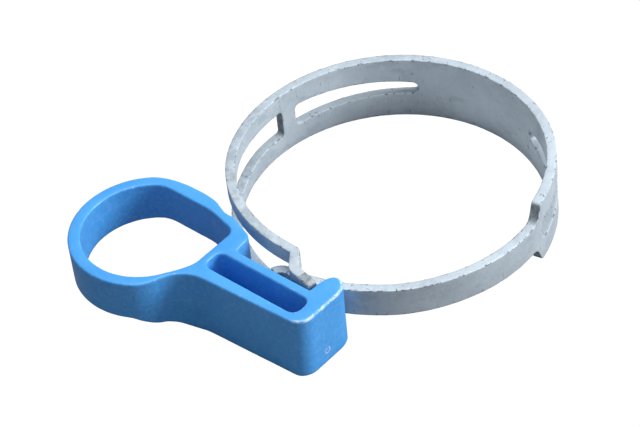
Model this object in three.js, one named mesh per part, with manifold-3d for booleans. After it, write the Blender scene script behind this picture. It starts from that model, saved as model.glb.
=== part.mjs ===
// Spring band hose clamp with its release clip.
//
// The clamp is one strip of spring steel rolled into a ring. One end is cut down to a narrow
// tongue, the other end is a fork closed by a crossbar, and the tongue passes out through the
// fork. The two bent ends are the ears. A one-piece plastic clip holds the ears side by side,
// which holds the ring open. Pulling the clip off lets the ring spring shut.
//
// The strip is elastic. Here it is a chain of short links with an upright hinge line between
// neighbours, so that the ring can close. Units are millimetres. The ring lies flat, its axis
// is +Z, and the ears and the clip are on the -Y side. Everything is drawn about the ring's
// axis, and angles are measured from +X, counter-clockwise from above, in degrees.

import * as THREE from 'three';
import { mergeVertices } from 'three/addons/utils/BufferGeometryUtils.js';
import Module from 'manifold-3d';

// ---- Strip -----------------------------------------------------------------------------------

const STRIP_WIDTH = 15;
const STRIP_THICKNESS = 2;
const RING_OUTER_RADIUS = 33.6;
const RING_RADIUS = RING_OUTER_RADIUS - STRIP_THICKNESS / 2; // to the middle of the thickness

const LINK_GAP = 0.3;
const FORK_ARM_HINGES = [104, 139, 173, 208, 243];
const TONGUE_ARM_HINGES = [76, 41, 5, -29, -62];
const FORK_EAR_ANGLE = 292; // just past the end of each ear
const TONGUE_EAR_ANGLE = -106;

// ---- Windows ---------------------------------------------------------------------------------

const WINDOW_MIDDLE_HEIGHT = 7.6;
const WINDOW_TIP_HALF_HEIGHT = 1.35;
const WINDOW_WIDE_HALF_HEIGHT = 2.7;
const WINDOW_CORNER_RADIUS = 1;
const FORK_ARM_WINDOW = { tip: 119, wide: 169.5 };
const TONGUE_ARM_WINDOW = { tip: 66, wide: 12.5 };

// ---- Fork and tongue -------------------------------------------------------------------------

const TONGUE = { low: 4.3, high: 10.9 };
const TONGUE_STEP = { wide: 11.5, narrow: 6.8 }; // angles where the step down begins and ends
const TONGUE_STEP_DIVISIONS = 6;

// The fork's slot, which the tongue slides in, widens from the bridge that closes one end of
// it and ends at the crossbar.
const FORK_SLOT = { bridge: 176, widening: 185, widened: 215, crossbar: 278.6 };
const FORK_SLOT_AT_BRIDGE = { low: 4.4, high: 10.8 };
const FORK_SLOT_WIDENED = { low: 3.2, high: 11.4 };

// ---- Ears ------------------------------------------------------------------------------------

// Each arm runs off the ring's radius towards its ear, then takes two bends. The corners are
// where the centreline's straight stretches would meet without the bends' radii.
const FORK_EAR = {
  ringStart: 70,
  offRound: [{ angle: 205, offset: 0 }, { angle: 270, offset: -1.45 }],
  corners: [[1.64, -31.15], [4.58, -35.11], [10.5, -36.4]],
  bendRadii: [1.6, 2.3],
};
const TONGUE_EAR = {
  ringStart: 105,
  offRound: [
    { angle: 60, offset: 0 },
    { angle: 15, offset: -0.25 },
    { angle: -25, offset: -0.25 },
    { angle: -55, offset: 0.1 },
    { angle: -88, offset: 0.65 },
  ],
  corners: [[-0.84, -32.97], [-1.55, -36.7], [-7.35, -36.7]],
  bendRadii: [2.4, 1.95],
};

// ---- Release clip ----------------------------------------------------------------------------

const CLIP_HEIGHT = 15;
const POCKET = { left: -7.8, right: 11.25, floor: -38, leftWallTop: [-8.1, -34.5] };
const SADDLE = { radius: 34.2, start: 253.8, end: 245 }; // the shoulder that the ring lies against
const SADDLE_FOOT = [-17.6, -30.75];

const BAR = { end: 16.4, front: -46.6, frontStart: [-7.6, -47.6], cornerRadius: 3.3 };
const BAR_END_DRAFT = 0.4; // the end face leans in this far at the bottom
const HOOK = { rootY: -36, tip: [13.4, -32.2], lip: [11.75, -33.8], wallTopY: -36.6 };
const BAR_SLOT = { left: -10.35, right: 13.1, front: -44.7, back: -40, radius: 1.7 };

const PULL_CENTRE = [-26.5, -43.8];
const PULL_OUTER_RADIUS = 15.8;
const PULL_HOLE_RADIUS = 13.25;
const PULL_ROUND = { start: 130, outerEnd: 303, holeEnd: 327 }; // the round stretch's angles
const PULL_BACK_CORNER = [-21.2, -29.35];
const PULL_HOLE_BACK = { y: -32.1, left: -27.5, right: -21.5 };
const PULL_HOLE_WALL = { x: -12.1, front: -44.2, back: -35.6, corner: [-14, -33.5] };

// The finger pull is thinner than the bar and flush with its top, and its underside runs down
// to the bar's underside along the neck.
const PULL_UNDERSIDE = 5.8;
const NECK = { pullX: -19.8, barX: -9.8, frontWaist: [-15, -53] };

// ---- Tessellation ----------------------------------------------------------------------------

const ARC_STEP = 3; // between stations round the ring
const BEND_STEP = 12; // between points round a bend of an ear
const CURVE_DIVISIONS = 16;
const REACH_IN = 24; // radii well inside and well outside the strip, for cutting solids
const REACH_OUT = 44;
const OVERSHOOT = 1; // how far a cutting solid runs past the faces it leaves through
const MERGE_DISTANCE = 1e-5;

const { degToRad, radToDeg, inverseLerp, lerp, smoothstep } = THREE.MathUtils;

const wasm = await Module();
wasm.setup();

function polar(radius, angle) {
  return new THREE.Vector2(radius, 0).rotateAround(new THREE.Vector2(), degToRad(angle));
}

// Evenly spaced values from start to end, both included.
function spread(start, end, steps) {
  return Array.from({ length: steps + 1 }, (_, step) => lerp(start, end, step / steps));
}

function stationsBetween(start, end) {
  return spread(start, end, Math.ceil(Math.abs(end - start) / ARC_STEP));
}

// ---- Solids ----------------------------------------------------------------------------------

function makeSolid(positions, indices) {
  return new wasm.Manifold(new wasm.Mesh({
    numProp: 3,
    vertProperties: new Float32Array(positions),
    triVerts: new Uint32Array(indices),
  }));
}

function solidFromGeometry(geometry) {
  geometry.deleteAttribute('normal');
  geometry.deleteAttribute('uv');
  const merged = mergeVertices(geometry, MERGE_DISTANCE);
  return makeSolid(merged.attributes.position.array, merged.index.array);
}

function geometryFromSolid(solid) {
  const mesh = solid.getMesh();
  const geometry = new THREE.BufferGeometry();
  geometry.setAttribute('position', new THREE.BufferAttribute(mesh.vertProperties, 3));
  geometry.setIndex(new THREE.BufferAttribute(mesh.triVerts, 1));
  geometry.computeVertexNormals();
  return geometry;
}

function extrudedGeometry(shape, depth) {
  const options = { depth, bevelEnabled: false, curveSegments: CURVE_DIVISIONS };
  return new THREE.ExtrudeGeometry(shape, options);
}

function extrude(shape, bottom, top) {
  return solidFromGeometry(extrudedGeometry(shape, top - bottom).translate(0, 0, bottom));
}

// A bar bent about the ring's axis, in order of rising angle. It crosses the strip's whole
// thickness between the heights low and high of each of its stations.
function bentBar(stations) {
  const positions = stations.flatMap(({ angle, low, high }) => {
    const near = polar(REACH_IN, angle);
    const far = polar(REACH_OUT, angle);
    return [near.x, near.y, low, far.x, far.y, low, far.x, far.y, high, near.x, near.y, high];
  });
  const corners = 4;
  const last = (stations.length - 1) * corners;
  const indices = [0, 1, 2, 0, 2, 3, last, last + 2, last + 1, last, last + 3, last + 2];
  for (let station = 0; station < last; station += corners) {
    for (let corner = 0; corner < corners; corner += 1) {
      const here = station + corner;
      const beside = station + ((corner + 1) % corners);
      indices.push(here, here + corners, beside, beside, here + corners, beside + corners);
    }
  }
  return makeSolid(positions, indices);
}

// ---- Arms ------------------------------------------------------------------------------------

// The points of an arc of the given radius that rounds off a corner of a path.
function roundedCorner(before, corner, after, radius) {
  const inward = corner.clone().sub(before).normalize();
  const outward = after.clone().sub(corner).normalize();
  const turn = Math.atan2(inward.cross(outward), inward.dot(outward));
  const setback = radius * Math.tan(Math.abs(turn) / 2);
  const start = corner.clone().addScaledVector(inward, -setback);
  const toCentre = new THREE.Vector2(-inward.y, inward.x).multiplyScalar(radius * Math.sign(turn));
  const centre = start.clone().add(toCentre);
  const steps = Math.ceil(Math.abs(radToDeg(turn)) / BEND_STEP);
  return spread(0, turn, steps).map((angle) => start.clone().rotateAround(centre, angle));
}

// How far an arm is off the ring's radius: smooth steps from one of the offsets to the next.
function offsetAt(offRound, angle) {
  return offRound.reduce((offset, next, index) => {
    const last = offRound[Math.max(index - 1, 0)];
    const [from, to] = last.angle < next.angle ? [last, next] : [next, last];
    const risen = smoothstep(angle, from.angle, to.angle);
    return offset + (next.offset - last.offset) * (from === last ? risen : 1 - risen);
  }, offRound[0].offset);
}

// An arm's centreline, from the back of the ring to the end of its ear.
function armCentreline({ ringStart, offRound, corners, bendRadii }) {
  const ring = stationsBetween(ringStart, offRound.at(-1).angle)
    .map((angle) => polar(RING_RADIUS + offsetAt(offRound, angle), angle));
  const [first, second, end] = corners.map(([x, y]) => new THREE.Vector2(x, y));
  return [
    ...ring,
    ...roundedCorner(ring.at(-1), first, second, bendRadii[0]),
    ...roundedCorner(first, second, end, bendRadii[1]),
    end,
  ];
}

// The full-width strip along a centreline.
function stripSolid(centreline) {
  const sides = [1, -1].map((side) => centreline.map((point, index) => {
    const before = centreline[Math.max(index - 1, 0)];
    const after = centreline[Math.min(index + 1, centreline.length - 1)];
    const along = after.clone().sub(before).normalize();
    const across = new THREE.Vector2(-along.y, along.x);
    return point.clone().addScaledVector(across, side * STRIP_THICKNESS / 2);
  }));
  return extrude(new THREE.Shape([...sides[0], ...sides[1].reverse()]), 0, STRIP_WIDTH);
}

// A window that widens from a round tip to an end with rounded corners.
function taperedWindow({ tip, wide }) {
  const length = degToRad(Math.abs(wide - tip)) * RING_RADIUS;
  const roundingLoss = (radius, distance) =>
    radius - Math.sqrt(radius ** 2 - Math.max(radius - distance, 0) ** 2);
  const tipDistances = [0.04, 0.2, 0.5, 1].map((part) => part * WINDOW_TIP_HALF_HEIGHT);
  const cornerDistances = [1, 0.5, 0.15, 0].map((part) => length - part * WINDOW_CORNER_RADIUS);
  const runs = Math.ceil(Math.abs(wide - tip) / ARC_STEP);
  const run = spread(tipDistances.at(-1), cornerDistances[0], runs).slice(1, -1);
  const stations = [...tipDistances, ...run, ...cornerDistances].map((distance) => {
    const half = lerp(WINDOW_TIP_HALF_HEIGHT, WINDOW_WIDE_HALF_HEIGHT, distance / length)
      - roundingLoss(WINDOW_TIP_HALF_HEIGHT, distance)
      - roundingLoss(WINDOW_CORNER_RADIUS, length - distance);
    return {
      angle: lerp(tip, wide, distance / length),
      low: WINDOW_MIDDLE_HEIGHT - half,
      high: WINDOW_MIDDLE_HEIGHT + half,
    };
  });
  return bentBar(tip < wide ? stations : stations.reverse());
}

function forkSlot() {
  const { bridge, widening, widened, crossbar } = FORK_SLOT;
  return bentBar(stationsBetween(bridge, crossbar).map((angle) => {
    const open = smoothstep(angle, widening, widened);
    const low = lerp(FORK_SLOT_AT_BRIDGE.low, FORK_SLOT_WIDENED.low, open);
    const high = lerp(FORK_SLOT_AT_BRIDGE.high, FORK_SLOT_WIDENED.high, open);
    return { angle, low, high };
  }));
}

// What is cut away beside the tongue, between one of its edges and the strip's own edge. The
// cut runs in steeply from the strip's edge and meets the tongue's edge in a curve.
function besideTongue(tongueEdge, stripEdge) {
  const { wide, narrow } = TONGUE_STEP;
  const beyond = stripEdge + OVERSHOOT * Math.sign(stripEdge - tongueEdge);
  const run = stationsBetween(TONGUE_EAR_ANGLE, narrow);
  const step = spread(narrow, wide, TONGUE_STEP_DIVISIONS).slice(1);
  return bentBar([...run, ...step].map((angle) => {
    const full = Math.max(inverseLerp(narrow, wide, angle), 0) ** 2;
    const edge = lerp(tongueEdge, stripEdge, full);
    return { angle, low: Math.min(edge, beyond), high: Math.max(edge, beyond) };
  }));
}

function forkArm() {
  return stripSolid(armCentreline(FORK_EAR))
    .subtract(taperedWindow(FORK_ARM_WINDOW))
    .subtract(forkSlot());
}

function tongueArm() {
  return stripSolid(armCentreline(TONGUE_EAR))
    .subtract(taperedWindow(TONGUE_ARM_WINDOW))
    .subtract(besideTongue(TONGUE.high, STRIP_WIDTH))
    .subtract(besideTongue(TONGUE.low, 0));
}

// The part of an arm between two hinge lines, less half a gap at each of them. A stretch of
// the fork that has neither the bridge nor the crossbar falls into two legs, lower one first.
function linkSolids(arm, from, to) {
  const [low, high] = [Math.min(from, to), Math.max(from, to)];
  const edgePoint = (radius, angle, shift) => polar(radius, angle).add(polar(shift, angle + 90));
  const sector = new THREE.Shape([
    edgePoint(REACH_IN, low, LINK_GAP / 2),
    edgePoint(REACH_OUT, low, LINK_GAP / 2),
    edgePoint(REACH_OUT, high, -LINK_GAP / 2),
    edgePoint(REACH_IN, high, -LINK_GAP / 2),
  ]);
  return arm.intersect(extrude(sector, -OVERSHOOT, STRIP_WIDTH + OVERSHOOT))
    .decompose()
    .sort((one, other) => one.boundingBox().min[2] - other.boundingBox().min[2]);
}

// ---- Release clip ----------------------------------------------------------------------------

// Continues a path from one heading to another, in degrees, with equal handles.
function sweepTo(path, startHeading, [x, y], endHeading, handle) {
  const first = path.currentPoint.clone().add(polar(handle, startHeading));
  const second = new THREE.Vector2(x, y).sub(polar(handle, endHeading));
  path.bezierCurveTo(first.x, first.y, second.x, second.y, x, y);
}

function pullPoint(radius, angle) {
  return polar(radius, angle).add(new THREE.Vector2(...PULL_CENTRE)).toArray();
}

// Counter-clockwise from the pocket's floor: left wall, shoulder, finger pull, bar, hook.
function clipOutline() {
  const shape = new THREE.Shape();
  shape.moveTo(POCKET.left, POCKET.floor);
  shape.lineTo(...POCKET.leftWallTop);
  sweepTo(shape, 95, polar(SADDLE.radius, SADDLE.start).toArray(), SADDLE.start - 90, 0.7);
  shape.absarc(0, 0, SADDLE.radius, degToRad(SADDLE.start), degToRad(SADDLE.end), true);
  sweepTo(shape, 176, SADDLE_FOOT, 158, 1);
  sweepTo(shape, 158, PULL_BACK_CORNER, 170, 0.8);
  sweepTo(shape, 172, pullPoint(PULL_OUTER_RADIUS, PULL_ROUND.start), PULL_ROUND.start + 90, 4.5);
  shape.absarc(
    ...PULL_CENTRE, PULL_OUTER_RADIUS, degToRad(PULL_ROUND.start), degToRad(PULL_ROUND.outerEnd));
  sweepTo(shape, PULL_ROUND.outerEnd - 270, NECK.frontWaist, 70, 1.6);
  sweepTo(shape, 70, BAR.frontStart, 3, 3.6);
  shape.absarc(
    BAR.end - BAR.cornerRadius, BAR.front + BAR.cornerRadius, BAR.cornerRadius, -Math.PI / 2, 0);
  shape.lineTo(BAR.end, HOOK.rootY);
  sweepTo(shape, 90, HOOK.tip, 180, 2);
  sweepTo(shape, 180, HOOK.lip, 250, 0.9);
  sweepTo(shape, 250, [POCKET.right, HOOK.wallTopY], 270, 0.8);
  shape.lineTo(POCKET.right, POCKET.floor);
  return shape;
}

function pullHole() {
  const { x, front, back, corner } = PULL_HOLE_WALL;
  const hole = new THREE.Path();
  hole.moveTo(PULL_HOLE_BACK.left, PULL_HOLE_BACK.y);
  sweepTo(hole, 180, pullPoint(PULL_HOLE_RADIUS, PULL_ROUND.start), PULL_ROUND.start + 90, 3);
  hole.absarc(
    ...PULL_CENTRE, PULL_HOLE_RADIUS, degToRad(PULL_ROUND.start), degToRad(PULL_ROUND.holeEnd));
  sweepTo(hole, PULL_ROUND.holeEnd + 90, [x, front], 90, 2.2);
  hole.lineTo(x, back);
  sweepTo(hole, 90, corner, 170, 1);
  sweepTo(hole, 170, [PULL_HOLE_BACK.right, PULL_HOLE_BACK.y], 180, 2.5);
  return hole;
}

function barSlot() {
  const { left, right, front, back, radius } = BAR_SLOT;
  const slot = new THREE.Path();
  slot.absarc(left + radius, back - radius, radius, Math.PI / 2, Math.PI);
  slot.absarc(left + radius, front + radius, radius, Math.PI, 1.5 * Math.PI);
  slot.absarc(right - radius, front + radius, radius, 1.5 * Math.PI, 2 * Math.PI);
  slot.absarc(right - radius, back - radius, radius, 0, Math.PI / 2);
  return slot;
}

// The space under the finger pull and the neck, drawn from the side and extruded along Y.
function underPull() {
  const left = PULL_CENTRE[0] - PULL_OUTER_RADIUS - OVERSHOOT;
  const profile = new THREE.Shape();
  profile.moveTo(left, -OVERSHOOT);
  profile.lineTo(NECK.barX, -OVERSHOOT);
  profile.lineTo(NECK.barX, 0);
  sweepTo(profile, 180, [NECK.pullX, PULL_UNDERSIDE], 180, 4);
  profile.lineTo(left, PULL_UNDERSIDE);
  return solidFromGeometry(extrudedGeometry(profile, -2 * PULL_CENTRE[1]).rotateX(Math.PI / 2));
}

function releaseClip() {
  const outline = clipOutline();
  outline.holes.push(pullHole(), barSlot());
  const geometry = extrudedGeometry(outline, CLIP_HEIGHT);
  const { position } = geometry.attributes;
  for (let index = 0; index < position.count; index += 1) {
    const towardsEnd = smoothstep(position.getX(index), BAR_SLOT.right, BAR.end);
    const towardsBottom = 1 - position.getZ(index) / CLIP_HEIGHT;
    position.setX(index, position.getX(index) - BAR_END_DRAFT * towardsEnd * towardsBottom);
  }
  return solidFromGeometry(geometry).subtract(underPull());
}

// ---- Assembly --------------------------------------------------------------------------------

const coatedSteel = { color: 0xa9b6bf, roughness: 0.55, metalness: 0.6 };
const bluePlastic = { color: 0x2f86dc, roughness: 0.35, metalness: 0 };

function addMesh(group, name, solid, look) {
  const mesh = new THREE.Mesh(geometryFromSolid(solid), new THREE.MeshStandardMaterial(look));
  mesh.name = name;
  group.add(mesh);
}

const clamp = new THREE.Group();

// Names of the links of each arm, from the back of the ring to the ear.
const forkLinks = [
  ['fork_arm_inner'],
  ['fork_arm_outer'],
  ['fork_bridge'],
  ['fork_leg_lower', 'fork_leg_upper'],
  ['fork_crossbar_ear'],
];
const tongueLinks = [
  ['tongue_arm_inner'],
  ['tongue_arm_outer'],
  ['tongue_root'],
  ['tongue_middle'],
  ['tongue_ear'],
];

function addLinks(arm, hinges, earAngle, links) {
  links.forEach((names, index) => {
    const solids = linkSolids(arm, hinges[index], hinges[index + 1] ?? earAngle);
    names.forEach((name, piece) => addMesh(clamp, name, solids[piece], coatedSteel));
  });
}

const fork = forkArm();
addMesh(clamp, 'band_back', linkSolids(fork, TONGUE_ARM_HINGES[0], FORK_ARM_HINGES[0])[0], coatedSteel);
addLinks(fork, FORK_ARM_HINGES, FORK_EAR_ANGLE, forkLinks);
addLinks(tongueArm(), TONGUE_ARM_HINGES, TONGUE_EAR_ANGLE, tongueLinks);
addMesh(clamp, 'release_clip', releaseClip(), bluePlastic);

// The part's origin is the middle of the bottom of its bounding box.
const box = new THREE.Box3().setFromObject(clamp);
const middle = box.getCenter(new THREE.Vector3());
clamp.position.set(-middle.x, -middle.y, -box.min.z);

const part = new THREE.Group();
part.add(clamp);

export default part;
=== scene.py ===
"""Spring band hose clamp, held open by its release clip.

The band is built flat, as it is cut from the steel strip with its windows, fork and tongue, and
is then rolled along each arm's centreline. Each stretch of it lies across one joint of the
frame. The clip is built on the outlines of the frame's own clip. Lengths are in millimetres and
are measured from the ring's axis, until a mesh is made.
"""

import math

import bmesh
import bpy
import numpy as np
from mathutils import Matrix, Vector, noise
from mathutils.geometry import delaunay_2d_cdt


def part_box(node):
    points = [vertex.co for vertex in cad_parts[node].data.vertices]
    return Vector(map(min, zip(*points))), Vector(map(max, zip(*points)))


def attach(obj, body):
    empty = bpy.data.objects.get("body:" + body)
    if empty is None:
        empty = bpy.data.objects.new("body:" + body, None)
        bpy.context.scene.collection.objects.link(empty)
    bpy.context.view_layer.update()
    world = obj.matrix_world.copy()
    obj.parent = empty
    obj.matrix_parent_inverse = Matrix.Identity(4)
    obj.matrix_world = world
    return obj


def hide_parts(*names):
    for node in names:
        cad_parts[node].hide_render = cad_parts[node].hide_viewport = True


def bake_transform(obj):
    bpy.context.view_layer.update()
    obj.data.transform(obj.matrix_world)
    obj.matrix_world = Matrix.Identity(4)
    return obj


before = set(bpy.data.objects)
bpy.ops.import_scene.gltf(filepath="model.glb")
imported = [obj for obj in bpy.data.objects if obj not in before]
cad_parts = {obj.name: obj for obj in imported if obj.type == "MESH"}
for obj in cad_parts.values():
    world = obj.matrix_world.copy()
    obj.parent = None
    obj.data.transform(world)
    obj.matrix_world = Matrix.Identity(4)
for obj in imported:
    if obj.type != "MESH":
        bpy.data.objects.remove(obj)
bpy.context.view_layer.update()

# ---- Driving dimensions ----------------------------------------------------------------------

MM = 0.001
STRIP_WIDTH = 15.0
STRIP_THICKNESS = 2.0
RING_OUTER_RADIUS = 33.6
RING_RADIUS = RING_OUTER_RADIUS - STRIP_THICKNESS / 2
BACK_ANGLE = 90.0  # where the two arms meet
BACK_OVERLAP = 4.0  # how far each arm is built past that angle before it is cut

# How far each arm runs off the ring's radius: (angle, offset), with smooth steps in between.
FORK_ARM = {
    "off_round": [(205.0, 0.0), (270.0, -1.45)],
    "corners": [(1.64, -31.15), (4.58, -35.11), (10.5, -36.4)],
    "bend_radii": (1.6, 2.3),
}
TONGUE_ARM = {
    "off_round": [(60.0, 0.0), (15.0, -0.25), (-25.0, -0.25), (-55.0, 0.1), (-88.0, 0.65)],
    "corners": [(-0.84, -32.97), (-1.55, -36.7), (-7.35, -36.7)],
    "bend_radii": (2.4, 1.95),
}

WINDOW_MIDDLE_HEIGHT = 7.6
WINDOW_TIP_HALF_HEIGHT = 1.35
WINDOW_WIDE_HALF_HEIGHT = 2.7
WINDOW_CORNER_RADIUS = 1.0
FORK_WINDOW = {"tip": 119.0, "wide": 169.5}
TONGUE_WINDOW = {"tip": 66.0, "wide": 12.5}

TONGUE = {"low": 4.3, "high": 10.9}
TONGUE_STEP = {"wide": 11.5, "narrow": 6.8}
FORK_SLOT = {"bridge": 176.0, "widening": 185.0, "widened": 215.0, "crossbar": 278.6}
FORK_SLOT_AT_BRIDGE = {"low": 4.4, "high": 10.8}
FORK_SLOT_WIDENED = {"low": 3.2, "high": 11.4}

STRIP_EDGE_RADIUS = 0.14
STRIP_EDGE_WOBBLE = 0.05
ROUGH_END_LENGTH = 3.5  # the sheared end of each arm
CLIP_EDGE_RADIUS = 0.36
CLIP_EDGE_WOBBLE = 0.03
WOBBLES_PER_MM = 0.6

# ---- Mesh spacing ----------------------------------------------------------------------------

STRIP_CELL = 0.8  # between points along the strip
BEND_CELL = 0.3  # the same in the tight bends of the ears
STRIP_OUTLINE_SHARE = 0.6  # of a cell, between points along the strip's outlines
STRIP_FIRST_ROW = 0.3  # from the strip's edge to the first row of inner points
STRIP_WALL_CELL = 0.5
STRIP_MARGIN = 0.2  # kept clear of inner points, beside the rounded edge
STRIP_SOFTENING = 2  # passes that ease an outline's corners
TIGHT_BENDING = 0.1  # in radians per mm, from which a bend is tight
TIGHT_BLUR = 10  # path points over which the spacing changes
CLIP_CELL = 0.7
CLIP_ROW_SHARE = 0.87  # of a cell, between rows of inner points
CLIP_OUTLINE_CELL = 0.28
CLIP_WALL_CELL = 0.8
CLIP_MARGIN = 0.9  # the same on the clip, with the rounded edge included
CLIP_SOFTENING = 3
RIM_ROWS = 4
PATH_STEP = 0.1
FINE_STEP = 0.05
RING_POINTS = 800
CORNER_POINTS = 40
OUTLINE_POINTS = 400
SLOT_POINTS = 300
STEP_POINTS = 40
LEVEL = 0.01  # heights closer than this are the same

# Where one built stretch of an arm hands over to the next, halfway between two hinges, and the
# frame's bodies on each side of the hinge in between, and its nodes that the stretch replaces.
FORK_STRETCHES = [
    ("band_fork_shoulder", 90.0, 121.5, "band_back", "fork_arm_inner", ["band_back", "fork_arm_inner"]),
    ("band_fork_window", 121.5, 156.0, "fork_arm_inner", "fork_arm_outer", ["fork_arm_outer"]),
    ("band_fork_bridge", 156.0, 190.5, "fork_arm_outer", "fork_bridge", ["fork_bridge"]),
    ("band_fork_legs", 190.5, 225.5, "fork_bridge", "fork_legs", ["fork_leg_lower", "fork_leg_upper"]),
    ("band_fork_ear", 225.5, 267.5, "fork_legs", "fork_ear", ["fork_crossbar_ear"]),
]
TONGUE_STRETCHES = [
    ("band_tongue_shoulder", 90.0, 58.5, "band_back", "tongue_arm_inner", ["tongue_arm_inner"]),
    ("band_tongue_window", 58.5, 23.0, "tongue_arm_inner", "tongue_arm_outer", ["tongue_arm_outer"]),
    ("band_tongue_root", 23.0, -12.0, "tongue_arm_outer", "tongue_root", ["tongue_root"]),
    ("band_tongue_middle", -12.0, -45.5, "tongue_root", "tongue_middle", ["tongue_middle"]),
    ("band_tongue_ear", -45.5, -84.0, "tongue_middle", "tongue_ear", ["tongue_ear"]),
]

# The ring's axis in the frame, from the back of the band.
back_low, back_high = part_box("band_back")
RING_CENTRE = Vector((
    (back_low.x + back_high.x) / 2,
    back_high.y - RING_OUTER_RADIUS * MM,
    0.0,
))


# ---- Outlines --------------------------------------------------------------------------------

def polar(radius, degrees):
    angle = np.radians(degrees)
    return radius * np.stack([np.cos(angle), np.sin(angle)], axis=-1)


def smoothstep(value, low, high):
    part = np.clip((value - low) / (high - low), 0.0, 1.0)
    return part * part * (3 - 2 * part)


def resampled(path, spacing, closed=True):
    """Even points along a path. The spacing is a number or a function of the points."""
    path = np.asarray(path, float)
    if closed:
        path = np.vstack([path, path[:1]])
    edge_lengths = np.linalg.norm(np.diff(path, axis=0), axis=1)
    edge_steps = np.maximum(np.ceil(edge_lengths / FINE_STEP), 1).astype(int)
    fine = np.vstack([
        path[i] + (path[i + 1] - path[i]) * np.linspace(0, 1, steps, endpoint=False)[:, None]
        for i, steps in enumerate(edge_steps)
    ] + [path[-1:]])
    lengths = np.linalg.norm(np.diff(fine, axis=0), axis=1)
    middles = (fine[1:] + fine[:-1]) / 2
    step = spacing(middles) if callable(spacing) else spacing
    travelled = np.concatenate([[0], np.cumsum(lengths / step)])
    fewest = 4
    count = max(int(round(travelled[-1])), fewest)
    wanted = np.linspace(0, travelled[-1], count + 1)
    if closed:
        wanted = wanted[:-1]
    return interpolated(wanted, travelled, fine)


def interpolated(wanted, travelled, rows):
    """The rows at the wanted distances, column by column."""
    return np.stack([np.interp(wanted, travelled, column) for column in rows.T], axis=1)


def softened(loop, passes):
    """The loop with its corners eased."""
    for _ in range(passes):
        loop = (np.roll(loop, 1, 0) + 2 * loop + np.roll(loop, -1, 0)) / 4
    return loop


def wobbled(loop, amount):
    """The loop with the slight unevenness of a real edge."""
    shifts = np.array([noise.noise(Vector((x, y, 0.0)) * WOBBLES_PER_MM) for x, y in loop])
    return loop + inward(loop) * (shifts * amount)[:, None]


def inward(loop):
    """Unit normals into the material: outer loops turn counter-clockwise, holes clockwise."""
    along = np.roll(loop, -1, 0) - np.roll(loop, 1, 0)
    normals = np.stack([-along[:, 1], along[:, 0]], axis=1)
    return normals / np.linalg.norm(normals, axis=1)[:, None]


def inset(loop, normals, distance):
    """The loop moved into the material, with the folds of tight corners smoothed out."""
    most_passes = 60
    least_share = 0.1  # of an edge's own length, which it has to keep
    moved = loop + normals * distance
    edges = np.roll(loop, -1, 0) - loop
    for _ in range(most_passes):
        now = np.roll(moved, -1, 0) - moved
        folded = (now * edges).sum(1) < least_share * (edges * edges).sum(1)
        if not folded.any():
            break
        touched = folded | np.roll(folded, 1)
        average = (np.roll(moved, 1, 0) + np.roll(moved, -1, 0)) / 2
        moved[touched] = average[touched]
    return moved


def in_material(points, loops):
    """Which points lie inside the outer loop and outside the holes."""
    crossings = np.zeros(len(points), int)
    for loop in loops:
        ends = np.roll(loop, -1, 0)
        for (x0, y0), (x1, y1) in zip(loop, ends):
            spans = (y0 > points[:, 1]) != (y1 > points[:, 1])
            if y0 != y1:
                at = x0 + (points[:, 1] - y0) * (x1 - x0) / (y1 - y0)
                crossings += spans & (points[:, 0] < at)
    return crossings % 2 == 1


def distance_to(points, loops):
    """How far each point is from the loops' nearest point, in blocks that fit in memory."""
    block_size = 2000
    corners = np.vstack(loops)
    nearest = np.full(len(points), np.inf)
    for start in range(0, len(points), block_size):
        block = slice(start, start + block_size)
        gaps = np.linalg.norm(points[block, None] - corners[None], axis=2)
        nearest[block] = gaps.min(axis=1)
    return nearest


# ---- Rounded plates --------------------------------------------------------------------------

def rim_profile(thickness, radius, wall_cell):
    """(inset, share of the thickness, offset) of each row over a plate's edge, top row first."""
    angles = np.linspace(math.pi / 2, 0, RIM_ROWS)
    top = [(radius * (1 - math.cos(angle)), 1.0, -radius * (1 - math.sin(angle))) for angle in angles]
    walls = max(int(round((thickness - 2 * radius) / wall_cell)), 1)
    shares = np.linspace(1, 0, walls + 1)[1:-1]
    wall = [(0.0, share, radius * (1 - 2 * share)) for share in shares]
    bottom = [(inset_by, 0.0, -offset) for inset_by, _, offset in reversed(top)]
    return top + wall + bottom


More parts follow.
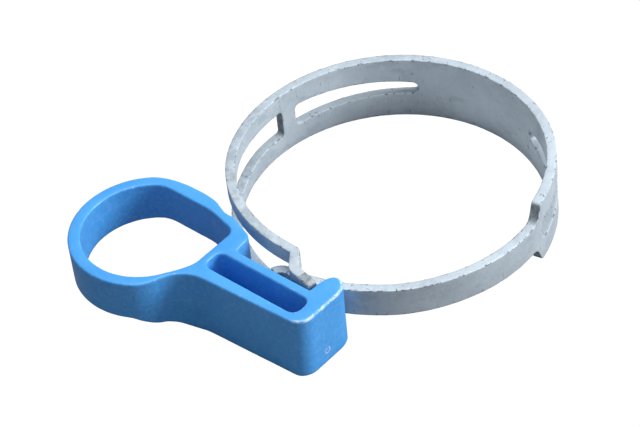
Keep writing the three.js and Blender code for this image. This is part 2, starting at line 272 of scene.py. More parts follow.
class Plate:
    """A flat plate with rounded edges.

    Each point has its place in plan, its share of the thickness and an offset from there. It
    also says how far it lies on a rounded edge (edge), on a wall (cut), and on a wall that
    faces along the strip (across), each from 0 to 1.
    """

    def __init__(self, loops, profile, grid, margin):
        self.plan, self.share, self.offset = [], [], []
        self.edge, self.cut, self.across = [], [], []
        self.faces = []
        self.count = 0
        normals = [inward(loop) for loop in loops]
        walls = [self.add_wall(loop, normal, profile) for loop, normal in zip(loops, normals)]
        inner = grid[in_material(grid, loops)]
        inner = inner[distance_to(inner, loops) > margin]
        for row, share in ((0, 1.0), (-1, 0.0)):
            inset_by = profile[row][0]
            rings = [inset(loop, normal, inset_by) for loop, normal in zip(loops, normals)]
            self.add_flat(rings, [starts[row] for starts in walls], inner, share)
        self.plan = np.vstack(self.plan)
        self.share = np.array(self.share)
        self.offset = np.array(self.offset)

    def add_points(self, plan, share, offset, edge, cut, across):
        """Adds points and returns the number of the first one."""
        start = self.count
        size = len(plan)
        self.plan.append(plan)
        self.share += [share] * size
        self.offset += [offset] * size
        self.edge += [edge] * size
        self.cut += [cut] * size
        self.across += list(across)
        self.count += size
        return start

    def add_wall(self, loop, normal, profile):
        """Adds one loop's rounded wall and returns the first point of each of its rows."""
        deepest = profile[0][0]
        rows = []
        for inset_by, share, offset in profile:
            edge = float(share in (0.0, 1.0))
            cut = 1 - inset_by / deepest
            ring = inset(loop, normal, inset_by)
            rows.append(self.add_points(ring, share, offset, edge, cut, np.abs(normal[:, 0]) * cut))
        size = len(loop)
        for upper, lower in zip(rows, rows[1:]):
            for i in range(size):
                j = (i + 1) % size
                self.faces.append((upper + i, lower + i, lower + j, upper + j))
        return rows

    def add_flat(self, rings, ring_starts, inner, share):
        """Adds the flat face within the rings: the top one if its share is 1."""
        inner_start = self.add_points(inner, share, 0.0, 0.0, 0.0, np.zeros(len(inner)))
        indices = np.concatenate(
            [np.arange(start, start + len(ring)) for start, ring in zip(ring_starts, rings)]
            + [np.arange(inner_start, inner_start + len(inner))])
        for triangle in triangles(rings, inner):
            corners = [int(indices[i]) for i in triangle]
            self.faces.append(tuple(corners if share else reversed(corners)))


def triangles(rings, inner):
    """Corner numbers of the triangles that fill the rings and use the inner points."""
    points = np.vstack([*rings, inner])
    edges, start = [], 0
    for ring in rings:
        size = len(ring)
        edges += [(start + i, start + (i + 1) % size) for i in range(size)]
        start += size
    nearness = 1e-6
    result = delaunay_2d_cdt([Vector(point) for point in points], edges, [], 0, nearness)
    corners, _, faces, originals = result[:4]
    faces = np.array(faces)
    where = np.array([sources[0] if sources else -1 for sources in originals])
    middles = np.array([tuple(point) for point in corners])[faces].mean(axis=1)
    return where[faces[in_material(middles, rings)]]


def plate_mesh(name, points, plate):
    """A mesh of the plate's faces, with its edge, cut and across values for the materials."""
    mesh = bpy.data.meshes.new(name)
    mesh.from_pydata(np.asarray(points).tolist(), [], [tuple(face) for face in plate.faces])
    for key in ("edge", "cut", "across"):
        layer = mesh.attributes.new(key, "FLOAT", "POINT")
        layer.data.foreach_set("value", np.asarray(getattr(plate, key), np.float32))
    return mesh


def finished_piece(name, bm, material):
    """A smooth-shaded object with its faces outward."""
    if bm.calc_volume(signed=True) < 0:
        bmesh.ops.reverse_faces(bm, faces=bm.faces)
    for face in bm.faces:
        face.smooth = True
    mesh = bpy.data.meshes.new(name)
    bm.to_mesh(mesh)
    bm.free()
    mesh.materials.append(material)
    piece = bpy.data.objects.new(name, mesh)
    bpy.context.scene.collection.objects.link(piece)
    return piece


# ---- Material nodes --------------------------------------------------------------------------

# Lengths here are in metres, as the meshes are, and noise scales are per metre.
CLIP_BLUE = (0.052, 0.315, 0.76, 1.0)
CLIP_BLUE_PALE = (0.068, 0.36, 0.83, 1.0)
CLIP_BLOOM = (0.20, 0.50, 0.90, 1.0)
CLIP_WEAR = (0.72, 0.80, 0.90, 1.0)
CLIP_END_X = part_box("release_clip")[1].x
CLIP_END_WEAR = (0.0036, 0.0010)  # from the bar's end to where wear starts and where it is full
CLIP_TOP_WEAR_Z = (0.0135, 0.0142)
CLIP_SEAM_Z = 0.0116
CLIP_SEAM_HALF_WIDTH = 0.00018
CLIP_GATE = RING_CENTRE + Vector((16.1, -39.9, 3.1)) * MM  # the moulding gate's round scar
CLIP_GATE_INSIDE = (0.00045, 0.0006)  # the radii between which its ring fades in
CLIP_GATE_OUTSIDE = (0.0009, 0.0007)
BAND_GREY = (0.43, 0.50, 0.56, 1.0)
BAND_GREY_PALE = (0.53, 0.61, 0.67, 1.0)
BAND_FLAKE = (0.61, 0.70, 0.76, 1.0)
BAND_DARK = (0.20, 0.25, 0.30, 1.0)
BAND_PIT = (0.09, 0.10, 0.13, 1.0)
BAND_SHEARED = (0.17, 0.185, 0.20, 1.0)
BAND_GRIME_FULL = -0.03  # the sum of x and y, towards the clip, from which the grime is full
RELIEF_DEPTH = 0.00012

# A noise layer has the noise's scale, detail and roughness, the values of the noise between
# which it steps, and what it steps from (start) and to (end).
CLIP_PATCHES = {"scale": 70.0, "detail": 2.0, "low": 0.3, "high": 0.7}
CLIP_MOTTLE = {"scale": 1100.0, "detail": 4.0, "roughness": 0.7, "low": 0.42, "high": 0.68}
CLIP_FLOW = {"scale": 1.0, "detail": 3.0, "roughness": 0.6, "low": 0.56, "high": 0.72}
CLIP_FLOW_SCALES = (60.0, 60.0, 1900.0)
CLIP_SPECKS = {"scale": 2600.0, "detail": 2.0, "low": 0.72, "high": 0.78}
CLIP_NICKS = {"scale": 1900.0, "detail": 2.0, "low": 0.68, "high": 0.74}
CLIP_WORN_PATCHES = {
    "scale": 900.0, "detail": 4.0, "roughness": 0.7,
    "low": 0.38, "high": 0.60, "start": 0.10, "end": 0.75,
}
CLIP_GATE_BREAKS = {"scale": 1500.0, "low": 0.35, "high": 0.6, "start": 0.1, "end": 0.6}
CLIP_ROUGHNESS = {
    "scale": 300.0, "detail": 4.0, "low": 0.25, "high": 0.75, "start": 0.28, "end": 0.44,
}
CLIP_GRAIN = {"scale": 1300.0, "detail": 4.0, "roughness": 0.65}
CLIP_STRENGTHS = {"flow": 0.22, "specks": 0.35, "nicks": 0.55}
CLIP_MOTTLE_ON_FLATS = 0.08
CLIP_MOTTLE_ON_WALLS = 0.34
CLIP_NICKED_EDGE = (0.7, 1.0)  # the share of an edge's rounding over which it starts and is full
CLIP_WORN_EDGE = (0.78, 1.0)
CLIP_WORN_ROUGHNESS = 0.3
CLIP_SPECULAR = 0.5
CLIP_RELIEFS = {"flow": 0.5, "beside_seam": 0.5}
CLIP_RELIEF_STRENGTH = 0.22

BAND_PATCHES = {"scale": 110.0, "detail": 4.0, "roughness": 0.6, "low": 0.32, "high": 0.68}
BAND_FLAKES = {"scale": 1500.0, "detail": 4.0, "roughness": 0.75, "low": 0.3, "high": 0.7}
BAND_STAINS = {"scale": 1.0, "detail": 4.0, "roughness": 0.65, "low": 0.52, "high": 0.70}
BAND_STAIN_SCALES = (160.0, 160.0, 300.0)
BAND_SCUFFS = {"scale": 1.0, "detail": 2.0, "roughness": 0.5, "low": 0.68, "high": 0.73}
BAND_SCUFF_SCALES = (420.0, 2300.0, 420.0)
BAND_SCUFF_TURN = (0.5, 0.7, 0.4)
BAND_GRIME = {"scale": 420.0, "detail": 4.0, "roughness": 0.7, "low": 0.38, "high": 0.60}
BAND_RAGGED = {
    "scale": 900.0, "detail": 4.0, "roughness": 0.7,
    "low": 0.3, "high": 0.65, "start": 0.35, "end": 0.85,
}
BAND_PITS = {"scale": 1250.0, "detail": 3.0, "roughness": 0.6, "low": 0.655, "high": 0.70}
BAND_CHIPS = {"scale": 800.0, "detail": 4.0, "roughness": 0.7, "low": 0.54, "high": 0.60}
BAND_ROUGHNESS = {
    "scale": 500.0, "detail": 4.0, "low": 0.2, "high": 0.8, "start": 0.46, "end": 0.62,
}
BAND_GRAIN = {"scale": 1700.0, "detail": 4.0, "roughness": 0.7}
BAND_STRENGTHS = {"flakes": 0.35, "stains": 0.26, "scuffs": 0.6, "grime": 0.45, "nicks": 0.75}
BAND_SHEARED_WALLS = (0.55, 0.9)
BAND_PITS_ON_WALLS = 0.6  # against 1 on the rounded edges
BAND_PIT_SPREAD = {"low": 0.0, "high": 1.4, "start": 0.25, "end": 0.95}
BAND_NICKED_EDGE = (0.55, 1.0)
BAND_METALLIC = 0.25
BAND_RELIEFS = {"pits": 0.6, "nicks": 0.8}
BAND_RELIEF_STRENGTH = 0.4


# Blender's Mix node holds its colours behind the sockets for other kinds of value.
MIX_FIRST_COLOUR = 6
MIX_SECOND_COLOUR = 7
MIX_COLOUR_OUT = 2


class Nodes:
    """Short calls for the few kinds of node that the materials use."""

    def __init__(self, name):
        self.material = bpy.data.materials.new(name)
        self.material.use_nodes = True
        self.tree = self.material.node_tree
        self.shader = self.tree.nodes["Principled BSDF"]
        self.place = self.tree.nodes.new("ShaderNodeTexCoord").outputs["Object"]

    def add(self, kind, settings=None, **inputs):
        node = self.tree.nodes.new(kind)
        for key, value in (settings or {}).items():
            setattr(node, key, value)
        for key, value in inputs.items():
            self.set(node.inputs[key.replace("_", " ")], value)
        return node

    def set(self, socket, value):
        if isinstance(value, bpy.types.NodeSocket):
            self.tree.links.new(value, socket)
        else:
            socket.default_value = value

    def noise(self, scale, detail=3.0, roughness=0.5, place=None):
        node = self.add("ShaderNodeTexNoise", Scale=scale, Detail=detail, Roughness=roughness)
        self.set(node.inputs["Vector"], place or self.place)
        return node.outputs["Fac"]

    def axes(self):
        node = self.add("ShaderNodeSeparateXYZ")
        self.set(node.inputs["Vector"], self.place)
        return node.outputs["X"], node.outputs["Y"], node.outputs["Z"]

    def distance(self, point):
        node = self.add("ShaderNodeVectorMath", {"operation": "DISTANCE"})
        self.set(node.inputs[0], self.place)
        self.set(node.inputs[1], point)
        return node.outputs["Value"]

    def stretched(self, scale, rotation=(0.0, 0.0, 0.0)):
        node = self.add("ShaderNodeMapping", Scale=scale, Rotation=rotation)
        self.set(node.inputs["Vector"], self.place)
        return node.outputs["Vector"]

    def ramp(self, value, low, high, start=0.0, end=1.0):
        """A smooth step from start, where the value is low, to end, where it is high."""
        node = self.add("ShaderNodeMapRange", {"interpolation_type": "SMOOTHSTEP"})
        for index, setting in enumerate((value, low, high, start, end)):
            self.set(node.inputs[index], setting)
        return node.outputs["Result"]

    def layer(self, scale, low, high, detail=3.0, roughness=0.5, start=0.0, end=1.0, place=None):
        return self.ramp(self.noise(scale, detail, roughness, place), low, high, start, end)

    def maths(self, operation, first, second=0.0):
        node = self.add("ShaderNodeMath", {"operation": operation})
        self.set(node.inputs[0], first)
        self.set(node.inputs[1], second)
        return node.outputs["Value"]

    def times(self, first, second):
        return self.maths("MULTIPLY", first, second)

    def mix(self, factor, first, second):
        node = self.add("ShaderNodeMix", {"data_type": "RGBA"})
        self.set(node.inputs["Factor"], factor)
        self.set(node.inputs[MIX_FIRST_COLOUR], first)
        self.set(node.inputs[MIX_SECOND_COLOUR], second)
        return node.outputs[MIX_COLOUR_OUT]

    def attribute(self, name):
        return self.add("ShaderNodeAttribute", {"attribute_name": name}).outputs["Fac"]

    def bump(self, height, strength, distance):
        node = self.add("ShaderNodeBump", Strength=strength, Distance=distance)
        self.set(node.inputs["Height"], height)
        return node.outputs["Normal"]


def gate_scar(nodes):
    from_gate = nodes.distance(CLIP_GATE)
    ring = nodes.times(nodes.ramp(from_gate, *CLIP_GATE_INSIDE), nodes.ramp(from_gate, *CLIP_GATE_OUTSIDE))
    return nodes.times(ring, nodes.layer(**CLIP_GATE_BREAKS))


def worn_bar_end(nodes, x, z, edge):
    """Wear along the top edge of the bar's end."""
    start, full = CLIP_END_WEAR
    at_bar_end = nodes.ramp(x, CLIP_END_X - start, CLIP_END_X - full)
    at_top = nodes.ramp(z, *CLIP_TOP_WEAR_Z)
    worn = nodes.times(nodes.times(nodes.ramp(edge, *CLIP_WORN_EDGE), at_bar_end), at_top)
    return nodes.times(worn, nodes.layer(**CLIP_WORN_PATCHES))


def plastic_material():
    nodes = Nodes("clip_plastic")
    x, _, z = nodes.axes()
    edge, cut = nodes.attribute("edge"), nodes.attribute("cut")
    base = nodes.mix(nodes.layer(**CLIP_PATCHES), CLIP_BLUE, CLIP_BLUE_PALE)
    on_walls = nodes.ramp(cut, 0.0, 1.0, CLIP_MOTTLE_ON_FLATS, CLIP_MOTTLE_ON_WALLS)
    base = nodes.mix(nodes.times(nodes.layer(**CLIP_MOTTLE), on_walls), base, CLIP_BLOOM)
    flow = nodes.layer(**CLIP_FLOW, place=nodes.stretched(CLIP_FLOW_SCALES))
    base = nodes.mix(nodes.times(flow, nodes.times(cut, CLIP_STRENGTHS["flow"])), base, CLIP_BLOOM)
    specks = nodes.layer(**CLIP_SPECKS)
    base = nodes.mix(nodes.times(specks, CLIP_STRENGTHS["specks"]), base, CLIP_WEAR)
    nicks = nodes.times(nodes.layer(**CLIP_NICKS), nodes.ramp(edge, *CLIP_NICKED_EDGE))
    base = nodes.mix(nodes.times(nicks, CLIP_STRENGTHS["nicks"]), base, CLIP_WEAR)
    worn = worn_bar_end(nodes, x, z, edge)
    base = nodes.mix(worn, base, CLIP_WEAR)
    base = nodes.mix(gate_scar(nodes), base, CLIP_WEAR)
    nodes.set(nodes.shader.inputs["Base Color"], base)
    rough = nodes.maths("ADD", nodes.layer(**CLIP_ROUGHNESS), nodes.times(worn, CLIP_WORN_ROUGHNESS))
    nodes.set(nodes.shader.inputs["Roughness"], rough)
    nodes.set(nodes.shader.inputs["Specular IOR Level"], CLIP_SPECULAR)
    relief = nodes.maths("ADD", nodes.noise(**CLIP_GRAIN), nodes.times(flow, CLIP_RELIEFS["flow"]))
    from_seam = nodes.maths("ABSOLUTE", nodes.maths("SUBTRACT", z, CLIP_SEAM_Z))
    beside_seam = nodes.ramp(from_seam, 0.0, CLIP_SEAM_HALF_WIDTH)
    relief = nodes.maths("ADD", relief, nodes.times(beside_seam, CLIP_RELIEFS["beside_seam"]))
    nodes.set(nodes.shader.inputs["Normal"], nodes.bump(relief, CLIP_RELIEF_STRENGTH, RELIEF_DEPTH))
    return nodes.material


def coating_material():
    nodes = Nodes("band_coating")
    x, y, _ = nodes.axes()
    edge, cut, across = nodes.attribute("edge"), nodes.attribute("cut"), nodes.attribute("across")
    base = nodes.mix(nodes.layer(**BAND_PATCHES), BAND_GREY, BAND_GREY_PALE)
    flakes = nodes.layer(**BAND_FLAKES)
    base = nodes.mix(nodes.times(flakes, BAND_STRENGTHS["flakes"]), base, BAND_FLAKE)
    stains = nodes.layer(**BAND_STAINS, place=nodes.stretched(BAND_STAIN_SCALES))
    base = nodes.mix(nodes.times(stains, BAND_STRENGTHS["stains"]), base, BAND_DARK)
    slanted = nodes.stretched(BAND_SCUFF_SCALES, BAND_SCUFF_TURN)
    scuffs = nodes.layer(**BAND_SCUFFS, place=slanted)
    base = nodes.mix(nodes.times(scuffs, BAND_STRENGTHS["scuffs"]), base, BAND_DARK)
    towards_clip = nodes.ramp(nodes.maths("ADD", x, y), 0.0, BAND_GRIME_FULL)
    grime = nodes.times(nodes.times(cut, towards_clip), nodes.layer(**BAND_GRIME))
    base = nodes.mix(nodes.times(grime, BAND_STRENGTHS["grime"]), base, BAND_DARK)
    sheared = nodes.times(nodes.ramp(across, *BAND_SHEARED_WALLS), nodes.layer(**BAND_RAGGED))
    base = nodes.mix(sheared, base, BAND_SHEARED)
    pits = nodes.layer(**BAND_PITS)
    near_edge = nodes.maths("ADD", edge, nodes.times(cut, BAND_PITS_ON_WALLS))
    base = nodes.mix(nodes.times(pits, nodes.ramp(near_edge, **BAND_PIT_SPREAD)), base, BAND_PIT)
    nicks = nodes.times(nodes.layer(**BAND_CHIPS), nodes.ramp(edge, *BAND_NICKED_EDGE))
    base = nodes.mix(nodes.times(nicks, BAND_STRENGTHS["nicks"]), base, BAND_PIT)
    nodes.set(nodes.shader.inputs["Base Color"], base)
    nodes.set(nodes.shader.inputs["Metallic"], BAND_METALLIC)
    nodes.set(nodes.shader.inputs["Roughness"], nodes.layer(**BAND_ROUGHNESS))
    grain = nodes.noise(**BAND_GRAIN)
    relief = nodes.maths("SUBTRACT", grain, nodes.times(pits, BAND_RELIEFS["pits"]))
    relief = nodes.maths("SUBTRACT", relief, nodes.times(nicks, BAND_RELIEFS["nicks"]))
    nodes.set(nodes.shader.inputs["Normal"], nodes.bump(relief, BAND_RELIEF_STRENGTH, RELIEF_DEPTH))
    return nodes.material


plastic = plastic_material()
coating = coating_material()


# ---- Release clip ----------------------------------------------------------------------------

def node_points(name):
    """The corners of a node, in millimetres from the ring's axis."""
    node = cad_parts[name]
    points = np.array([node.matrix_world @ vertex.co for vertex in node.data.vertices])
    return (points - np.array(RING_CENTRE)) / MM


def top_outlines(name):
    """The closed outlines of a node's flat top, and its height."""
    points = node_points(name)
    rounded = np.round(points, 3)
    _, first, same = np.unique(rounded, axis=0, return_index=True, return_inverse=True)
    same = same.ravel()
    top = points[:, 2].max()
    flat_edges = set()
    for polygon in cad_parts[name].data.polygons:
        corners = list(polygon.vertices)
        if all(points[corner, 2] > top - LEVEL for corner in corners):
            ids = [int(same[corner]) for corner in corners]
            flat_edges |= {(a, b) for a, b in zip(ids, ids[1:] + ids[:1])}
    following = {a: b for a, b in flat_edges if (b, a) not in flat_edges}
    loops = []
    while following:
        start = min(following)
        loop, here = [], start
        while here in following:
            loop.append(here)
            here = following.pop(here)
        loops.append(points[first[loop]][:, :2])
    return sorted(loops, key=len, reverse=True), top


def clip_grid(loops):
    """Staggered rows of points over the clip."""
    low = np.array([loop.min(axis=0) for loop in loops]).min(axis=0)
    high = np.array([loop.max(axis=0) for loop in loops]).max(axis=0)
    columns = np.arange(low[0], high[0], CLIP_CELL)
    rows = np.arange(low[1], high[1], CLIP_CELL * CLIP_ROW_SHARE)
    return np.array([
        (x + (row % 2) * CLIP_CELL / 2, y)
        for row, y in enumerate(rows)
        for x in columns
    ])


def build_clip():
    """The clip, with its outlines, its underside and the draft of its bar's end from the frame."""
    outlines, top = top_outlines("release_clip")
    outer = max(outlines, key=lambda loop: np.ptp(loop[:, 0]))
    outlines = [outer] + [loop for loop in outlines if loop is not outer]
    loops = [
        wobbled(softened(resampled(loop, CLIP_OUTLINE_CELL), CLIP_SOFTENING), CLIP_EDGE_WOBBLE)
        for loop in outlines
    ]
    under = node_points("release_clip")
    under = under[under[:, 2] < top - LEVEL]
    order = np.argsort(under[:, 0])
    under_x, under_z = under[order, 0], under[order, 2]
    slot_end = min(loop[:, 0].max() for loop in loops[1:] if loop[:, 0].max() > 0)
    bar_end = outer[:, 0].max()
    end_draft = bar_end - under[under[:, 2] < LEVEL][:, 0].max()

    profile = rim_profile(top, CLIP_EDGE_RADIUS, CLIP_WALL_CELL)
    plate = Plate(loops, profile, clip_grid(loops), CLIP_MARGIN)
    bottom = np.interp(plate.plan[:, 0], under_x, under_z)
    height = bottom + (top - bottom) * plate.share + plate.offset
    towards_end = smoothstep(plate.plan[:, 0], slot_end, bar_end)
    x = plate.plan[:, 0] - end_draft * towards_end * (1 - height / top)
    points = np.stack([x, plate.plan[:, 1], height], axis=1)
    bm = bmesh.new()
    bm.from_mesh(plate_mesh("clip", points * MM + np.array(RING_CENTRE), plate))
    clip = finished_piece("clip_body", bm, plastic)
    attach(clip, "release_clip")
    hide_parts("release_clip")


build_clip()


# ---- Band ------------------------------------------------------------------------------------

def rounded_corner(before, corner, after, radius):
    """Points on the arc of this radius that rounds the corner."""
    before, corner, after = (np.asarray(point, float) for point in (before, corner, after))
    heading_in = (corner - before) / np.linalg.norm(corner - before)
    heading_out = (after - corner) / np.linalg.norm(after - corner)
    sideways = heading_in[0] * heading_out[1] - heading_in[1] * heading_out[0]
    turn = math.atan2(sideways, heading_in @ heading_out)
    start = corner - heading_in * radius * math.tan(abs(turn) / 2)
    centre = start + np.array([-heading_in[1], heading_in[0]]) * radius * math.copysign(1, turn)
    arm = start - centre
    angles = np.linspace(0, turn, CORNER_POINTS)
    return np.stack([
        centre[0] + arm[0] * np.cos(angles) - arm[1] * np.sin(angles),
        centre[1] + arm[0] * np.sin(angles) + arm[1] * np.cos(angles),
    ], axis=1)


class Arm:
    """One arm's centreline, and the way from the flat strip to the rolled one."""

    def __init__(self, off_round, corners, bend_radii):
        ring_end = off_round[-1][0]
        self.turn = math.copysign(1, ring_end - BACK_ANGLE)
        angles = np.linspace(BACK_ANGLE - self.turn * BACK_OVERLAP, ring_end, RING_POINTS)
        radii = np.full(len(angles), RING_RADIUS)
        for (before, offset), (after, next_offset) in zip(off_round, off_round[1:]):
            radii += (next_offset - offset) * smoothstep(angles, before, after)
        ring = polar(radii[:, None], angles)
        first, second, end = corners
        path = np.vstack([
            ring,
            rounded_corner(ring[-1], first, second, bend_radii[0]),
            rounded_corner(first, second, end, bend_radii[1]),
            [end],
        ])
        self.path = resampled(path, PATH_STEP, closed=False)
        steps = np.linalg.norm(np.diff(self.path, axis=0), axis=1)
        self.travel = np.concatenate([[0], np.cumsum(steps)])
        tangents = np.gradient(self.path, self.travel, axis=0)
        tangents /= np.linalg.norm(tangents, axis=1)[:, None]
        self.outward = self.turn * np.stack([tangents[:, 1], -tangents[:, 0]], axis=1)
        headings = np.unwrap(np.arctan2(tangents[:, 1], tangents[:, 0]))
        tight = (np.abs(np.gradient(headings, self.travel)) > TIGHT_BENDING).astype(float)
        self.tight = np.convolve(tight, np.ones(TIGHT_BLUR) / TIGHT_BLUR, mode="same").clip(0, 1)
        self.angles = np.degrees(np.unwrap(np.arctan2(self.path[:, 1], self.path[:, 0])))
        self.angles += 360 * round((BACK_ANGLE - self.angles[0]) / 360)
        self.length = self.travel[-1]

    def at(self, angle):
        """How far along the strip the centreline reaches this angle."""
        return float(np.interp(self.turn * angle, self.turn * self.angles, self.travel))

    def point(self, angle):
        """Where the ring's round centreline is at this angle, on the floor."""
        return np.append(polar(RING_RADIUS, angle), 0.0)

    def spacing(self, points):
        """The wanted distance between points at these places on the flat strip."""
        near = np.interp(points[:, 0], self.travel, self.tight)
        return STRIP_CELL + (BEND_CELL - STRIP_CELL) * near

    def rolled(self, travel, height, depth):
        """Places on the flat strip, rolled up along the centreline."""
        centre = interpolated(travel, self.travel, self.path)
        outward = interpolated(travel, self.travel, self.outward)
        outward /= np.linalg.norm(outward, axis=1)[:, None]
        flat = centre + outward * depth[:, None]
        return np.column_stack([flat, height])


def window_outline(arm, tip, wide):
    """A window that widens from its round tip to its wide end, which has rounded corners."""
    start, end = arm.at(tip), arm.at(wide)
    length = abs(end - start)
    direction = math.copysign(1, end - start)
    ease = (1 - np.cos(np.linspace(0, math.pi, OUTLINE_POINTS))) / 2
    distance = ease * length

    def loss(radius, gap):
        """How much a rounded end takes off the half height, at this gap from the end."""
        return radius - np.sqrt(np.maximum(radius ** 2 - np.maximum(radius - gap, 0) ** 2, 0))

    half = (WINDOW_TIP_HALF_HEIGHT
            + (WINDOW_WIDE_HALF_HEIGHT - WINDOW_TIP_HALF_HEIGHT) * distance / length
            - loss(WINDOW_TIP_HALF_HEIGHT, distance)
            - loss(WINDOW_CORNER_RADIUS, length - distance))
    travel = start + direction * distance
    upper = np.stack([travel, WINDOW_MIDDLE_HEIGHT + half], axis=1)
    lower = np.stack([travel, WINDOW_MIDDLE_HEIGHT - half], axis=1)[::-1]
    return clockwise(np.vstack([upper, lower]))


def slot_outline(arm):
    """The fork's slot, from its bridge to its crossbar."""
    angles = np.linspace(FORK_SLOT["bridge"], FORK_SLOT["crossbar"], SLOT_POINTS)
    travel = np.array([arm.at(angle) for angle in angles])
    open_part = smoothstep(angles, FORK_SLOT["widening"], FORK_SLOT["widened"])
    low, high = (
        FORK_SLOT_AT_BRIDGE[edge] + (FORK_SLOT_WIDENED[edge] - FORK_SLOT_AT_BRIDGE[edge]) * open_part
        for edge in ("low", "high"))
    upper = np.stack([travel, high], axis=1)
    lower = np.stack([travel, low], axis=1)[::-1]
    return clockwise(np.vstack([upper, lower]))


def tongue_edge(arm):
    """The strip's outline along the tongue arm, from the back of the ring to the tongue's tip."""
    narrow, wide = arm.at(TONGUE_STEP["narrow"]), arm.at(TONGUE_STEP["wide"])
    travel = np.concatenate([[0.0], np.linspace(wide, narrow, STEP_POINTS), [arm.length]])
    full = np.clip((travel - narrow) / (wide - narrow), 0, 1) ** 2
    upper = np.stack([travel, TONGUE["high"] + (STRIP_WIDTH - TONGUE["high"]) * full], axis=1)
    lower = np.stack([travel, TONGUE["low"] * (1 - full)], axis=1)
    return counter_clockwise(np.vstack([lower, upper[::-1]]))


def area(loop):
    ahead = np.roll(loop, -1, 0)
    return ((loop[:, 0] * ahead[:, 1] - ahead[:, 0] * loop[:, 1]).sum()) / 2


def clockwise(loop):
    return loop if area(loop) < 0 else loop[::-1]


def counter_clockwise(loop):
    return loop if area(loop) > 0 else loop[::-1]


def strip_grid(arm):
    """Staggered columns of points over the flat strip, closer where it bends tightly."""
    whole_length = np.array([[0.0, 0.0], [arm.length, 0.0]])
    columns = resampled(whole_length, arm.spacing, closed=False)[:, 0]
    grid = []
    for index, travel in enumerate(columns):
        rows = np.arange(STRIP_FIRST_ROW, STRIP_WIDTH, STRIP_CELL) + (index % 2) * STRIP_CELL / 2
        grid += [(travel, row) for row in rows]
    return np.array(grid)


def flat_arm(arm, outlines):
    """The arm as it is cut from the flat strip."""
    def outline_spacing(points):
        return arm.spacing(points) * STRIP_OUTLINE_SHARE

    loops = [
        wobbled(softened(resampled(loop, outline_spacing), STRIP_SOFTENING), STRIP_EDGE_WOBBLE)
        for loop in outlines
    ]
    profile = rim_profile(STRIP_THICKNESS, STRIP_EDGE_RADIUS, STRIP_WALL_CELL)
    plate = Plate(loops, profile, strip_grid(arm), STRIP_EDGE_RADIUS + STRIP_MARGIN)
    near_end = plate.plan[:, 0] > arm.length - ROUGH_END_LENGTH
    plate.across = np.maximum(plate.across, plate.cut * near_end)
    depth = STRIP_THICKNESS * (plate.share - 0.5) + plate.offset
    return plate_mesh("flat", np.column_stack([plate.plan, depth]), plate)


def cut_stretch(flat, cuts):
    """What the cuts leave of the flat arm. Each cut is a distance along the strip, and 1 to keep
    what lies beyond it or -1 to keep what lies before it.
    """
    bm = bmesh.new()
    bm.from_mesh(flat)
    for travel, side in cuts:
        cut = bmesh.ops.bisect_plane(
            bm, geom=bm.verts[:] + bm.edges[:] + bm.faces[:], plane_co=(travel, 0, 0),
            plane_no=(-side, 0, 0), clear_outer=True)
        border = [item for item in cut["geom_cut"] if isinstance(item, bmesh.types.BMEdge)]
        bmesh.ops.holes_fill(bm, edges=border, sides=0)
        for edge in border:
            edge.smooth = False
    return bm


def roll_up(arm, bm):
    """Moves each point of a flat stretch to its place on the arm."""
    points = np.array([vertex.co for vertex in bm.verts])
    rolled = arm.rolled(points[:, 0], points[:, 1], points[:, 2])
    for vertex, place in zip(bm.verts, rolled * MM + np.array(RING_CENTRE)):
        vertex.co = place


def build_arm(arm, outlines, stretches):
    flat = flat_arm(arm, outlines)
    last_name = stretches[-1][0]
    for name, start, end, body, next_body, nodes in stretches:
        cuts = [(arm.at(start), 1.0)]
        if name != last_name:
            cuts.append((arm.at(end), -1.0))
        bm = cut_stretch(flat, cuts)
        roll_up(arm, bm)
        piece = finished_piece(name, bm, coating)
        start_point = Vector(arm.point(start) * MM) + RING_CENTRE
        end_point = Vector(arm.point(end) * MM) + RING_CENTRE
        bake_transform(piece)
        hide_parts(*nodes)


fork_arm = Arm(**FORK_ARM)
tongue_arm = Arm(**TONGUE_ARM)
full_strip = counter_clockwise(np.array([
    (0.0, 0.0),
    (fork_arm.length, 0.0),
    (fork_arm.length, STRIP_WIDTH),
    (0.0, STRIP_WIDTH),
]))
fork_window = window_outline(fork_arm, **FORK_WINDOW)
tongue_window = window_outline(tongue_arm, **TONGUE_WINDOW)
build_arm(fork_arm, [full_strip, fork_window, slot_outline(fork_arm)], FORK_STRETCHES)
build_arm(tongue_arm, [tongue_edge(tongue_arm), tongue_window], TONGUE_STRETCHES)


# ---- Studio ----------------------------------------------------------------------------------

# The floor and the lights are in metres. What follows the ring, which is the bright part of the
# floor and the camera, is in millimetres.
FLOOR_HALF_SIZE = 3.0
FLOOR_DROP = 0.0002  # kept between the floor and what lies on it
FLOOR_ROUGHNESS = 0.9
FLOOR_SPECULAR = 0.1
FLOOR_SEEN_STRENGTH = 1.05
FLOOR_BOUNCE = (0.19, 0.19, 0.20)
FLOOR_BOUNCE_IN_RING = (0.75, 0.75, 0.75)
BRIGHT_MIDDLE = (5.0, 8.0, 0.0)  # of the bright floor inside the ring, from the ring's axis
BRIGHT_RADIUS = 24.0
BRIGHT_SHARE = 0.8  # of that radius, from which the bright floor fades

OVERHEAD_LIGHT = {"location": (0.0, 0.15, 0.9), "size": 0.7, "energy": 5.9}
SIDE_LIGHT = {"location": (0.60, 0.42, 0.36), "size": 0.4, "energy": 6.4}
LIGHT_TARGET = (0.0, 0.0, 0.0)
WORLD_COLOUR = (0.90, 0.96, 1.02, 1.0)
WORLD_STRENGTH = 0.36

CAMERA_AZIMUTH = 45.0
CAMERA_ELEVATION = 42.2
CAMERA_ROLL = -6.74
CAMERA_DISTANCE = 515.4
CAMERA_TARGET = (-12.91, -8.66, 0.0)
CAMERA_LENS = 140.6
CAMERA_SENSOR = 36.0
CAMERA_CLIP_START = 0.01  # in metres


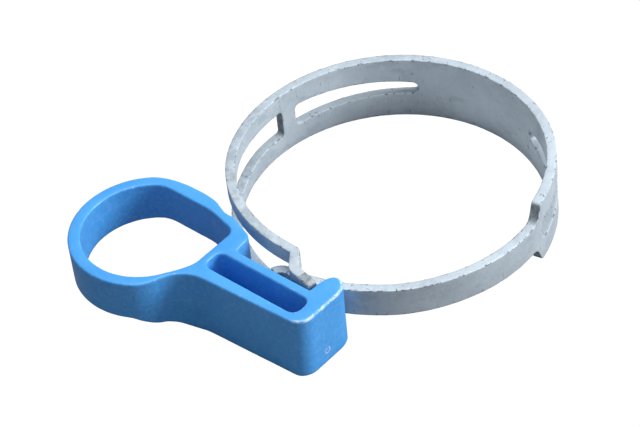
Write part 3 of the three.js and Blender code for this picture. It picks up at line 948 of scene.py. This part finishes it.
def floor_material():
    """White to the camera. The light that it sends back onto the clamp is bright inside the
    ring and dim round it.
    """
    material = bpy.data.materials.new("floor_white")
    material.use_nodes = True
    tree = material.node_tree
    shader = tree.nodes["Principled BSDF"]
    shader.inputs["Roughness"].default_value = FLOOR_ROUGHNESS
    shader.inputs["Specular IOR Level"].default_value = FLOOR_SPECULAR
    seen = tree.nodes.new("ShaderNodeEmission")
    seen.inputs["Strength"].default_value = FLOOR_SEEN_STRENGTH
    place = tree.nodes.new("ShaderNodeTexCoord").outputs["Object"]
    from_middle = tree.nodes.new("ShaderNodeVectorMath")
    from_middle.operation = "DISTANCE"
    tree.links.new(place, from_middle.inputs[0])
    from_middle.inputs[1].default_value = RING_CENTRE + Vector(BRIGHT_MIDDLE) * MM
    fade = tree.nodes.new("ShaderNodeMapRange")
    tree.links.new(from_middle.outputs["Value"], fade.inputs["Value"])
    fade.inputs["From Min"].default_value = BRIGHT_RADIUS * MM * BRIGHT_SHARE
    fade.inputs["From Max"].default_value = BRIGHT_RADIUS * MM
    bounce = tree.nodes.new("ShaderNodeMix")
    bounce.data_type = "RGBA"
    tree.links.new(fade.outputs["Result"], bounce.inputs["Factor"])
    bounce.inputs[MIX_FIRST_COLOUR].default_value = (*FLOOR_BOUNCE_IN_RING, 1)
    bounce.inputs[MIX_SECOND_COLOUR].default_value = (*FLOOR_BOUNCE, 1)
    tree.links.new(bounce.outputs[MIX_COLOUR_OUT], shader.inputs["Base Color"])
    path = tree.nodes.new("ShaderNodeLightPath")
    chosen = tree.nodes.new("ShaderNodeMixShader")
    tree.links.new(path.outputs["Is Camera Ray"], chosen.inputs[0])
    tree.links.new(shader.outputs["BSDF"], chosen.inputs[1])
    tree.links.new(seen.outputs["Emission"], chosen.inputs[2])
    tree.links.new(chosen.outputs["Shader"], tree.nodes["Material Output"].inputs["Surface"])
    return material


def build_floor():
    size = FLOOR_HALF_SIZE
    corners = [(-size, -size, 0), (size, -size, 0), (size, size, 0), (-size, size, 0)]
    mesh = bpy.data.meshes.new("floor")
    mesh.from_pydata(corners, [], [(0, 1, 2, 3)])
    floor = bpy.data.objects.new("floor", mesh)
    floor.location.z = -FLOOR_DROP
    bpy.context.scene.collection.objects.link(floor)
    mesh.materials.append(floor_material())


def area_light(name, location, size, energy):
    light = bpy.data.lights.new(name, "AREA")
    light.shape = "DISK"
    light.size = size
    light.energy = energy
    lamp = bpy.data.objects.new(name, light)
    lamp.location = location
    lamp.rotation_euler = (Vector(LIGHT_TARGET) - Vector(location)).to_track_quat("-Z", "Y").to_euler()
    bpy.context.scene.collection.objects.link(lamp)


def build_world():
    world = bpy.data.worlds.new("studio")
    world.use_nodes = True
    background = world.node_tree.nodes["Background"]
    background.inputs["Color"].default_value = WORLD_COLOUR
    background.inputs["Strength"].default_value = WORLD_STRENGTH
    bpy.context.scene.world = world


def build_camera():
    azimuth, elevation = math.radians(CAMERA_AZIMUTH), math.radians(CAMERA_ELEVATION)
    back = Vector((
        math.sin(azimuth) * math.cos(elevation),
        -math.cos(azimuth) * math.cos(elevation),
        math.sin(elevation),
    ))
    right = Vector((math.cos(azimuth), math.sin(azimuth), 0.0))
    up = back.cross(right)
    roll = math.radians(CAMERA_ROLL)
    rolled_right = right * math.cos(roll) + up * math.sin(roll)
    rolled_up = up * math.cos(roll) - right * math.sin(roll)
    data = bpy.data.cameras.new("camera")
    data.lens = CAMERA_LENS
    data.sensor_width = CAMERA_SENSOR
    data.clip_start = CAMERA_CLIP_START
    camera = bpy.data.objects.new("camera", data)
    bpy.context.scene.collection.objects.link(camera)
    turn = Matrix((rolled_right, rolled_up, back)).transposed().to_4x4()
    place = Vector(CAMERA_TARGET) * MM + RING_CENTRE + back * CAMERA_DISTANCE * MM
    camera.matrix_world = Matrix.Translation(place) @ turn
    bpy.context.scene.camera = camera


build_floor()
area_light("overhead", **OVERHEAD_LIGHT)
area_light("side", **SIDE_LIGHT)
build_world()
build_camera()
bpy.context.scene.view_settings.view_transform = "Standard"
